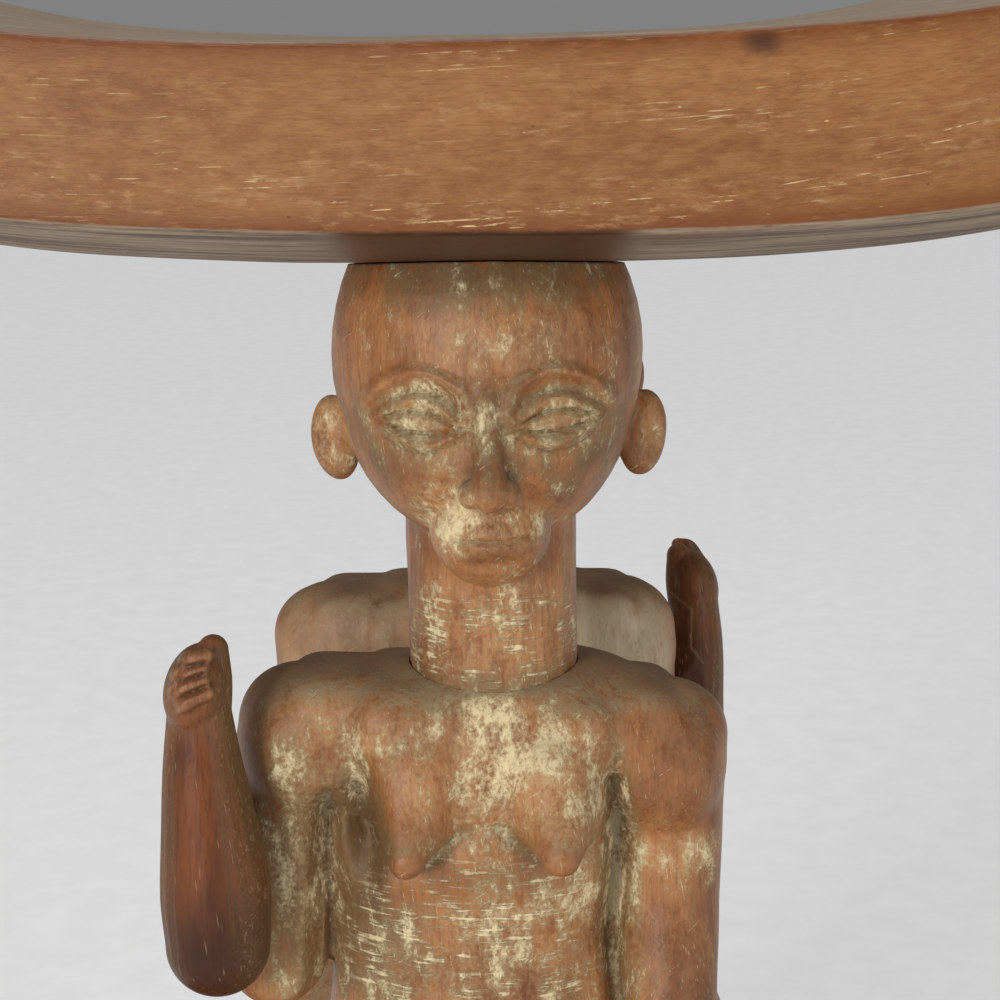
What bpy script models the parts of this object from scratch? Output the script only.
"""Carved stool of the Asante kind: a swept seat carried on the heads of two figures, who stand back to back
on a plain base. Each figure hangs its left arm and raises its right forearm, which is pegged on at the elbow.
Metres, +Z up. The origin is under the middle of the base and the seat runs along X. The front figure faces -Y,
and the rear figure is the same design turned half round."""

import math

import bmesh
import bpy
from mathutils import Euler, Matrix, Vector

# Clearance left between pieces that touch
FIT_GAP = 0.0003

# Seat: a slab swept up towards its ends, with a bellied underside
SEAT_LENGTH = 0.470
SEAT_DEPTH = 0.232
SEAT_EDGE = 0.036
SEAT_THICKENING = 0.0035
SEAT_BELLY = 0.015
SEAT_SWEEP = 0.062
SWEEP_POWER = 3.0
SEAT_ROUNDING = 0.003

# Base slab
BASE_LENGTH = 0.360
BASE_DEPTH = 0.220
BASE_THICKNESS = 0.032
BASE_ROUNDING = 0.004

# Heights on a figure, above its soles
KNEE_RISE = 0.044
CROTCH_RISE = 0.066
HIP_RISE = 0.088
WAIST_RISE = 0.158
NIPPLE_RISE = 0.189
SHOULDER_RISE = 0.224

# Widths and depths of a figure
BACK_CLEARANCE = 0.015
SHOULDER_WIDTH = 0.115
SHOULDER_TILT = 0.0027
ARM_DIAMETER = 0.026
CHEST_WIDTH = 0.082
WAIST_WIDTH = 0.072
TORSO_DEPTH = 0.048
BREAST_SPACING = 0.034
BREAST_REACH = 0.036
BREAST_RISE = 0.020
BREAST_ROOT = 0.019
BREAST_TIP = 0.005
HIP_WIDTH = 0.134
HIP_DEPTH = 0.062
LEG_SPACING = 0.070
THIGH_DIAMETER = 0.056
KNEE_DIAMETER = 0.042
KNEE_FORWARD = 0.009
ANKLE_DIAMETER = 0.031
ANKLE_BACK = 0.008
FOOT_LENGTH = 0.066
FOOT_WIDTH = 0.034
FOOT_HEIGHT = 0.020
HAND_LENGTH = 0.030
HAND_FORWARD = 0.026

# Head and neck. Both heads stand a little to the +X side of the bodies
HEAD_SHIFT = 0.003
NECK_DIAMETER = 0.039
NECK_HOUSING = 0.003
NECK_LENGTH = 0.025
HEAD_HEIGHT = 0.069
HEAD_WIDTH = 0.070
HEAD_DEPTH = 0.067
CHIN_WIDTH = 0.027
CHIN_BACK = 0.005
EAR_HEIGHT = 0.021
EAR_REACH = 0.006
NOSE_REACH = 0.006
NOSE_WIDTH = 0.011

# Raised forearm and its fist, and each figure's elbow: how far out, and how far below its shoulder tops
FOREARM_LENGTH = 0.085
FOREARM_DIAMETER = 0.025
WRIST_DIAMETER = 0.0152
FIST_LENGTH = 0.021
FIST_LEAN = 0.3
FIST_DEPTH = 0.022
FIST_FORWARD = 0.002
THUMB_DIAMETER = 0.007
ELBOW_FORWARD = 0.0255
ELBOW_FLAT = 0.003
ELBOW_SET_IN = 0.011
ELBOW_LENGTH = 0.013
FRONT_ELBOW_OUT = 0.0605
FRONT_ELBOW_DROP = 0.054
REAR_ELBOW_OUT = 0.0560
REAR_ELBOW_DROP = 0.069

# Round pegs, and how deep each goes into the two pieces that it joins
CROWN_PEG = 0.010
CROWN_PEG_IN_SEAT = 0.018
CROWN_PEG_IN_HEAD = 0.022
NECK_PEG = 0.010
NECK_PEG_IN_HEAD = 0.024
NECK_PEG_IN_BODY = 0.026
ELBOW_PEG = 0.006
ELBOW_PEG_IN_ARM = 0.010
ELBOW_PEG_IN_BODY = 0.009
FOOT_PEG = 0.008
FOOT_PEG_IN_BASE = 0.016
FOOT_PEG_IN_LEG = 0.024

# Fineness of the carved solids: the grain they are fused at, and the share of faces kept
BODY_GRAIN = 0.0025
HEAD_GRAIN = 0.0016
FOREARM_GRAIN = 0.0012
BODY_KEEP = 0.075
HEAD_KEEP = 0.080
FOREARM_KEEP = 0.060
PEG_SIDES = 16

# Levels that follow from the sizes above
SOLE = BASE_THICKNESS + FIT_GAP
SHOULDER = SOLE + SHOULDER_RISE
NECK_SEAT = SHOULDER - NECK_HOUSING
CHIN = NECK_SEAT + NECK_HOUSING + NECK_LENGTH
CROWN = CHIN + HEAD_HEIGHT
FIGURE_OFFSET = max(HEAD_DEPTH, HIP_DEPTH) / 2 + BACK_CLEARANCE / 2
BELLY_AT_HEAD = SEAT_BELLY * (1 - (2 * FIGURE_OFFSET / SEAT_DEPTH) ** 2)
SEAT_MIDDLE = CROWN + FIT_GAP + SEAT_EDGE + BELLY_AT_HEAD
ELBOW_FACE = -ELBOW_FORWARD + FOREARM_DIAMETER / 2 - ELBOW_FLAT

for leftover in list(bpy.data.objects):
    bpy.data.objects.remove(leftover)

pieces = bpy.data.collections.new("ashanti_stool")
cutters = bpy.data.collections.new("cutters")
for group in (pieces, cutters):
    bpy.context.scene.collection.children.link(group)


def wood(name, colour, roughness):
    """A plain wooden surface."""
    material = bpy.data.materials.new(name)
    material.use_nodes = True
    shader = material.node_tree.nodes["Principled BSDF"]
    shader.inputs["Base Color"].default_value = (*colour, 1.0)
    shader.inputs["Roughness"].default_value = roughness
    shader.inputs["Metallic"].default_value = 0.0
    return material


SEAT_WOOD = wood("seat_wood", (0.34, 0.16, 0.06), 0.45)
BASE_WOOD = wood("base_wood", (0.29, 0.15, 0.07), 0.55)
FIGURE_WOOD = wood("figure_wood", (0.33, 0.18, 0.09), 0.6)
FOREARM_WOOD = wood("forearm_wood", (0.12, 0.045, 0.02), 0.35)
PEG_WOOD = wood("peg_wood", (0.42, 0.27, 0.14), 0.6)


def finish(mesh, name, material, parent=None):
    """Put a mesh among the pieces under its node's name."""
    piece = bpy.data.objects.new(name, mesh)
    piece.parent = parent
    pieces.objects.link(piece)
    mesh.materials.append(material)
    mesh.shade_smooth()
    mesh.set_sharp_from_angle(angle=math.radians(40))
    return piece


def as_mesh(name, bm):
    """A named mesh from an editing mesh, which is freed."""
    mesh = bpy.data.meshes.new(name)
    bm.to_mesh(mesh)
    bm.free()
    return mesh


def blob(centre, radii, turn=(0.0, 0.0, 0.0)):
    """An ellipsoid, turned about its own centre."""
    bm = bmesh.new()
    bmesh.ops.create_uvsphere(bm, u_segments=32, v_segments=20, radius=1.0)
    place = Matrix.Translation(centre) @ Euler(turn).to_matrix().to_4x4() @ Matrix.Diagonal((*radii, 1.0))
    bmesh.ops.transform(bm, matrix=place, verts=bm.verts)
    return as_mesh("blob", bm)


def limb(stations, squash=1.0, round_ends=True):
    """A tube through stations of (x, y, z, radius), flattened along Y by squash."""
    curve = bpy.data.curves.new("limb", "CURVE")
    curve.dimensions = "3D"
    curve.bevel_depth = 1.0
    curve.bevel_resolution = 6
    curve.use_fill_caps = True
    spline = curve.splines.new("POLY")
    spline.points.add(len(stations) - 1)
    for point, (x, y, z, radius) in zip(spline.points, stations):
        point.co = (x, y / squash, z, 1.0)
        point.radius = radius
    tube = bpy.data.objects.new("limb", curve)
    bpy.context.scene.collection.objects.link(tube)
    bpy.context.view_layer.update()
    evaluated = tube.evaluated_get(bpy.context.evaluated_depsgraph_get())
    bm = bmesh.new()
    bm.from_mesh(bpy.data.meshes.new_from_object(evaluated))
    bpy.data.objects.remove(tube)
    bmesh.ops.remove_doubles(bm, verts=bm.verts, dist=1e-6)
    for x, y, z, radius in (stations[0], stations[-1]) if round_ends else ():
        place = Matrix.Translation((x, y / squash, z))
        bmesh.ops.create_uvsphere(bm, u_segments=24, v_segments=16, radius=radius, matrix=place)
    bmesh.ops.scale(bm, vec=(1.0, squash, 1.0), verts=bm.verts)
    return as_mesh("limb", bm)


def carve(name, masses, grain, rounds, keep, material, figure):
    """Fuse overlapping masses into one smooth carved solid of few faces."""
    bm = bmesh.new()
    for mass in masses:
        bm.from_mesh(mass)
        bpy.data.meshes.remove(mass)
    piece = finish(as_mesh(name, bm), name, material, figure)
    fuse = piece.modifiers.new("fuse", "REMESH")
    fuse.mode = "VOXEL"
    fuse.voxel_size = grain
    soften = piece.modifiers.new("soften", "SMOOTH")
    soften.factor = 0.5
    soften.iterations = rounds
    thin = piece.modifiers.new("thin", "DECIMATE")
    thin.ratio = keep
    return piece


def cutter(name, mesh, parent):
    """A shape that only cuts other pieces."""
    shape = bpy.data.objects.new(name, mesh)
    shape.parent = parent
    shape.hide_render = True
    shape.display_type = "WIRE"
    cutters.objects.link(shape)
    return shape


def cut(piece, shape):
    boolean = piece.modifiers.new(shape.name, "BOOLEAN")
    boolean.operation = "DIFFERENCE"
    boolean.solver = "EXACT"
    boolean.object = shape


def block(lowest, highest):
    """A box between two corners."""
    bm = bmesh.new()
    bmesh.ops.create_cube(bm, size=1.0)
    low, high = Vector(lowest), Vector(highest)
    place = Matrix.Translation((low + high) / 2) @ Matrix.Diagonal((*(high - low), 1.0))
    bmesh.ops.transform(bm, matrix=place, verts=bm.verts)
    return as_mesh("block", bm)


def rod(start, end, radius, sides=PEG_SIDES):
    """A cylinder between two points."""
    bm = bmesh.new()
    axis = Vector(end) - Vector(start)
    turn = Vector((0, 0, 1)).rotation_difference(axis).to_matrix().to_4x4()
    place = Matrix.Translation((Vector(start) + Vector(end)) / 2) @ turn
    bmesh.ops.create_cone(
        bm, cap_ends=True, segments=sides, radius1=radius, radius2=radius, depth=axis.length, matrix=place
    )
    return as_mesh("rod", bm)


def peg(name, start, end, diameter, hosts, figure):
    """A round peg, and its blind hole in each piece that it joins."""
    finish(rod(start, end, diameter / 2), name, PEG_WOOD, figure)
    spare = (Vector(end) - Vector(start)).normalized() * FIT_GAP
    hole = rod(Vector(start) - spare, Vector(end) + spare, diameter / 2 + FIT_GAP)
    shape = cutter(name + "_hole", hole, figure)
    for host in hosts:
        cut(host, shape)


def seat_top(x):
    """Height of the sitting surface, and its slope, at a distance along the seat."""
    reach = abs(x) / (SEAT_LENGTH / 2)
    height = SEAT_MIDDLE + SEAT_SWEEP * reach**SWEEP_POWER
    slope = SWEEP_POWER * SEAT_SWEEP * reach ** (SWEEP_POWER - 1) / (SEAT_LENGTH / 2)
    return height, math.copysign(slope, x)


def seat_mesh(name, lowered=0.0):
    """The swept slab: a grid pressed to the sitting surface and thickened square to its curve."""
    bm = bmesh.new()
    bmesh.ops.create_grid(bm, x_segments=24, y_segments=6, size=1.0)
    top = bm.faces[:]
    under = bmesh.ops.extrude_face_region(bm, geom=top)["geom"]
    under = {item for item in under if isinstance(item, bmesh.types.BMVert)}
    for vert in bm.verts:
        along, across = vert.co.x, vert.co.y
        x = along * SEAT_LENGTH / 2
        height, slope = seat_top(x)
        thickness = 0.0
        if vert in under:
            uneven = SEAT_THICKENING * along * (1 - along**2)
            thickness = SEAT_EDGE + uneven + SEAT_BELLY * (1 - across**2)
        lean = math.atan(slope)
        vert.co.x = x + thickness * math.sin(lean)
        vert.co.y = across * SEAT_DEPTH / 2
        vert.co.z = height - thickness * math.cos(lean) - lowered
    bmesh.ops.recalc_face_normals(bm, faces=bm.faces)
    return as_mesh(name, bm)


def rounded(piece, width, segments):
    """Round the sharp edges of a slab."""
    bevel = piece.modifiers.new("rounding", "BEVEL")
    bevel.width = width
    bevel.segments = segments
    bevel.limit_method = "ANGLE"
    bevel.angle_limit = math.radians(50)


def slab_pieces():
    """The seat and the base."""
    seat = finish(seat_mesh("seat"), "seat", SEAT_WOOD)
    rounded(seat, SEAT_ROUNDING, 2)
    corner = Vector((BASE_LENGTH / 2, BASE_DEPTH / 2, 0.0))
    base = finish(block(-corner, corner + Vector((0, 0, BASE_THICKNESS))), "base", BASE_WOOD)
    rounded(base, BASE_ROUNDING, 2)
    return seat, base


def mirrored(sides, make):
    """The masses that make(side) gives for each side, where side is -1 or 1."""
    return [mass for side in sides for mass in make(side)]


def leg(side):
    """Hip, thigh, shin and foot."""
    x = side * LEG_SPACING / 2
    hip = HIP_DEPTH * 0.55
    foot_y = ANKLE_BACK + ANKLE_DIAMETER / 2 - FOOT_LENGTH / 2
    return [
        blob((side * (HIP_WIDTH / 2 - hip), 0.0, SOLE + HIP_RISE), (hip, HIP_DEPTH / 2, hip)),
        limb(
            [
                (x, 0.0, SOLE + HIP_RISE * 0.9, THIGH_DIAMETER / 2),
                (x, -KNEE_FORWARD / 2, SOLE + CROTCH_RISE, THIGH_DIAMETER * 0.47),
                (x, -KNEE_FORWARD, SOLE + KNEE_RISE, KNEE_DIAMETER / 2),
                (x, ANKLE_BACK, SOLE + KNEE_RISE / 2, ANKLE_DIAMETER * 0.58),
                (x, ANKLE_BACK, SOLE + FOOT_HEIGHT / 2, ANKLE_DIAMETER / 2),
            ]
        ),
        blob((x, foot_y, SOLE + FOOT_HEIGHT * 0.35), (FOOT_WIDTH / 2, FOOT_LENGTH / 2, FOOT_HEIGHT * 0.65)),
    ]


def breast(side):
    """A low cone that points forward and down."""
    x = side * BREAST_SPACING / 2
    root = (x, BREAST_ROOT - TORSO_DEPTH / 2, SOLE + NIPPLE_RISE + BREAST_RISE, BREAST_ROOT)
    tip = (x, BREAST_TIP - BREAST_REACH, SOLE + NIPPLE_RISE, BREAST_TIP)
    return [limb([root, tip])]


def torso(shift):
    """Pelvis, belly, chest and shoulder line."""
    flat = TORSO_DEPTH / WAIST_WIDTH
    bar = ARM_DIAMETER * 0.6
    end = SHOULDER_WIDTH / 2 - bar
    top = SHOULDER - bar
    girdle = (SHOULDER_WIDTH * 0.42, TORSO_DEPTH * 0.6, bar * 0.8)
    pelvis = (HIP_WIDTH * 0.38, HIP_DEPTH * 0.47, HIP_RISE - CROTCH_RISE)
    return [
        blob((0.0, 0.0, SOLE + HIP_RISE), pelvis),
        limb(
            [
                (0.0, 0.0, SOLE + HIP_RISE, HIP_WIDTH * 0.36),
                (0.0, 0.0, SOLE + (HIP_RISE + WAIST_RISE) / 2, HIP_WIDTH * 0.31),
                (0.0, 0.0, SOLE + WAIST_RISE, WAIST_WIDTH / 2),
                (0.0, 0.0, SOLE + NIPPLE_RISE, CHEST_WIDTH / 2),
                (0.0, 0.0, SHOULDER - bar / 2, CHEST_WIDTH * 0.46),
            ],
            squash=flat,
            round_ends=False,
        ),
        limb([(-end, 0.0, top + SHOULDER_TILT, bar), (end, 0.0, top - SHOULDER_TILT, bar)]),
        blob((shift, 0.0, SHOULDER - bar * 0.65), girdle),
    ]


def left_arm():
    """The arm that hangs with its hand on the thigh."""
    radius = ARM_DIAMETER / 2
    x = SHOULDER_WIDTH / 2 - radius * 1.08
    hand_z = SOLE + HIP_RISE + HAND_LENGTH * 0.4
    palm = (radius * 0.85, radius * 0.55, HAND_LENGTH / 2)
    return [
        limb(
            [
                (x, 0.0, SHOULDER - SHOULDER_TILT - radius, radius * 1.08),
                (x, 0.0, SOLE + (WAIST_RISE + NIPPLE_RISE) / 2, radius),
                (x, -HAND_FORWARD * 0.2, SOLE + WAIST_RISE, radius * 0.92),
                (x, -HAND_FORWARD * 0.8, hand_z + HAND_LENGTH * 0.6, radius * 0.68),
            ]
        ),
        blob((x, -HAND_FORWARD, hand_z), palm, (-0.25, 0.0, 0.0)),
    ]


def right_upper_arm(elbow):
    """The arm from the raised shoulder down to the elbow's flat face."""
    radius = ARM_DIAMETER / 2
    shoulder_x = radius * 1.1 - SHOULDER_WIDTH / 2
    elbow_x = elbow.x + ELBOW_SET_IN
    elbow_y = elbow.y + radius * 0.7
    return [
        limb(
            [
                (shoulder_x, 0.0, SHOULDER + SHOULDER_TILT - radius, radius * 1.1),
                ((shoulder_x + elbow_x) / 2, elbow_y * 0.3, (SHOULDER + elbow.z) / 2, radius),
                (elbow_x, elbow_y, elbow.z, radius),
                (elbow_x, elbow_y, elbow.z - ELBOW_LENGTH, radius * 0.92),
            ]
        )
    ]


def body_piece(name, figure, elbow, shift):
    """Torso, hanging arm, raised upper arm and legs, from one block."""
    masses = torso(shift) + mirrored((-1, 1), breast) + mirrored((-1, 1), leg)
    masses += left_arm() + right_upper_arm(elbow)
    body = carve(name, masses, BODY_GRAIN, 6, BODY_KEEP, FIGURE_WOOD, figure)
    reach = HIP_WIDTH
    cut(body, cutter(name + "_soles", block((-reach, -reach, -reach), (reach, reach, SOLE)), figure))
    housing_floor = (shift, 0.0, NECK_SEAT - FIT_GAP)
    housing_top = (shift, 0.0, CHIN)
    housing = rod(housing_floor, housing_top, NECK_DIAMETER / 2 + FIT_GAP, sides=32)
    cut(body, cutter(name + "_neck_housing", housing, figure))
    lowest = (elbow.x - ARM_DIAMETER, elbow.y - ARM_DIAMETER, elbow.z - ARM_DIAMETER - ELBOW_LENGTH)
    highest = (-WAIST_WIDTH / 2, elbow.y, elbow.z + ARM_DIAMETER)
    cut(body, cutter(name + "_elbow_face", block(lowest, highest), figure))
    return body


def ear(side, shift):
    """A half round disc at the side of the head."""
    x = shift + side * (HEAD_WIDTH / 2 + EAR_REACH * 0.2)
    return [blob((x, 0.0, CHIN + HEAD_HEIGHT * 0.44), (EAR_REACH * 0.8, EAR_HEIGHT * 0.38, EAR_HEIGHT / 2))]


def head_piece(name, figure, seat_bed, shift):
    """Head and neck, cut to the seat's underside at the crown and square at the foot of the neck."""
    skull = (HEAD_WIDTH / 2, HEAD_DEPTH / 2, HEAD_HEIGHT * 0.6)
    cheek = HEAD_WIDTH * 0.46
    chin = CHIN_WIDTH / 2
    jaw = (3 * cheek + 2 * chin) / 5
    face_front = -HEAD_DEPTH * 0.53
    bridge = NOSE_WIDTH * 0.25
    nostrils = NOSE_WIDTH / 2
    masses = [
        blob((shift, 0.0, CHIN + HEAD_HEIGHT * 0.72), skull),
        limb(
            [
                (shift, face_front + cheek, CHIN + HEAD_HEIGHT * 0.56, cheek),
                (shift, face_front + CHIN_BACK / 3 + jaw, CHIN + jaw * 1.15, jaw),
                (shift, face_front + CHIN_BACK + chin, CHIN + chin, chin),
            ]
        ),
        limb(
            [
                (shift, 0.0, NECK_SEAT - NECK_HOUSING, NECK_DIAMETER / 2),
                (shift, 0.0, CHIN + HEAD_HEIGHT * 0.3, NECK_DIAMETER / 2),
            ]
        ),
        limb(
            [
                (shift, face_front + bridge, CHIN + HEAD_HEIGHT * 0.62, bridge),
                (shift, face_front + nostrils - NOSE_REACH, CHIN + HEAD_HEIGHT * 0.34, nostrils),
            ]
        ),
    ]
    masses += ear(-1, shift) + ear(1, shift)
    head = carve(name, masses, HEAD_GRAIN, 3, HEAD_KEEP, FIGURE_WOOD, figure)
    cut(head, seat_bed)
    lowest = (-HEAD_WIDTH, -HEAD_WIDTH, NECK_SEAT - NECK_DIAMETER)
    highest = (HEAD_WIDTH, HEAD_WIDTH, NECK_SEAT)
    cut(head, cutter(name + "_neck_foot", block(lowest, highest), figure))
    return head


def forearm_piece(name, figure, elbow):
    """The raised forearm and fist, flat at the elbow where it meets the upper arm."""
    thick = FOREARM_DIAMETER / 2
    thin = WRIST_DIAMETER / 2
    bottom = elbow.z - thick * 1.1
    wrist = bottom + FOREARM_LENGTH - FIST_LENGTH
    calf = bottom + thick * 2.1
    x = elbow.x
    fist_y = -ELBOW_FORWARD - FIST_FORWARD
    fist = (thin * 0.92, FIST_DEPTH / 2, FIST_LENGTH / 2)
    thumb = THUMB_DIAMETER / 2
    thumb_x = x + thin * 0.46
    masses = [
        limb(
            [
                (x, -ELBOW_FORWARD, bottom + thick * 0.95, thick * 0.95),
                (x, -ELBOW_FORWARD, calf, thick),
                (x, -ELBOW_FORWARD, (calf + wrist) / 2, thick * 0.82),
                (x, -ELBOW_FORWARD, wrist, thin),
                (x, fist_y, wrist + FIST_LENGTH * 0.45, thin * 0.84),
            ]
        ),
        blob((x - thumb * 0.3, fist_y, wrist + FIST_LENGTH * 0.42), fist, (0.0, FIST_LEAN, 0.0)),
        limb(
            [
                (thumb_x, fist_y + thumb, wrist + FIST_LENGTH * 0.2, thumb * 1.2),
                (thumb_x, fist_y, wrist + FIST_LENGTH - thumb, thumb),
            ]
        ),
    ]
    forearm = carve(name, masses, FOREARM_GRAIN, 3, FOREARM_KEEP, FOREARM_WOOD, figure)
    face = elbow.y - FIT_GAP
    lowest = (x - FOREARM_DIAMETER, face, bottom - thick)
    highest = (x + FOREARM_DIAMETER, face + FOREARM_DIAMETER, wrist + FIST_LENGTH)
    cut(forearm, cutter(name + "_elbow_face", block(lowest, highest), figure))
    return forearm


def figure_pieces(side_name, side, seat, base, seat_bed, elbow):
    """One standing figure: body, head, forearm and the pegs that hold them."""
    figure = bpy.data.objects.new(side_name + "_figure", None)
    pieces.objects.link(figure)
    figure.location = (0.0, side * FIGURE_OFFSET, 0.0)
    figure.rotation_euler = (0.0, 0.0, 0.0 if side < 0 else math.pi)
    shift = -side * HEAD_SHIFT
    body = body_piece(side_name + "_body", figure, elbow, shift)
    head = head_piece(side_name + "_head", figure, seat_bed, shift)
    forearm = forearm_piece(side_name + "_forearm", figure, elbow)
    crown_low = (shift, 0.0, CROWN - CROWN_PEG_IN_HEAD)
    crown_high = (shift, 0.0, CROWN + CROWN_PEG_IN_SEAT)
    peg(side_name + "_crown_peg", crown_low, crown_high, CROWN_PEG, (seat, head), figure)
    neck_low = (shift, 0.0, NECK_SEAT - NECK_PEG_IN_BODY)
    neck_high = (shift, 0.0, NECK_SEAT + NECK_PEG_IN_HEAD)
    peg(side_name + "_neck_peg", neck_low, neck_high, NECK_PEG, (head, body), figure)
    peg_x = elbow.x + ELBOW_SET_IN / 2
    elbow_front = (peg_x, elbow.y - ELBOW_PEG_IN_ARM, elbow.z)
    elbow_back = (peg_x, elbow.y + ELBOW_PEG_IN_BODY, elbow.z)
    peg(side_name + "_elbow_peg", elbow_front, elbow_back, ELBOW_PEG, (forearm, body), figure)
    for foot_name, foot_side in (("left", 1), ("right", -1)):
        x = foot_side * LEG_SPACING / 2
        y = ANKLE_BACK
        name = f"{side_name}_{foot_name}_foot_peg"
        peg(name, (x, y, SOLE - FOOT_PEG_IN_BASE), (x, y, SOLE + FOOT_PEG_IN_LEG), FOOT_PEG, (base, body), figure)


def build():
    seat, base = slab_pieces()
    seat_bed = cutter("seat_bed", seat_mesh("seat_bed", lowered=FIT_GAP), None)
    front_elbow = Vector((-FRONT_ELBOW_OUT, ELBOW_FACE, SHOULDER - FRONT_ELBOW_DROP))
    rear_elbow = Vector((-REAR_ELBOW_OUT, ELBOW_FACE, SHOULDER - REAR_ELBOW_DROP))
    figure_pieces("front", -1, seat, base, seat_bed, front_elbow)
    figure_pieces("rear", 1, seat, base, seat_bed, rear_elbow)


build()
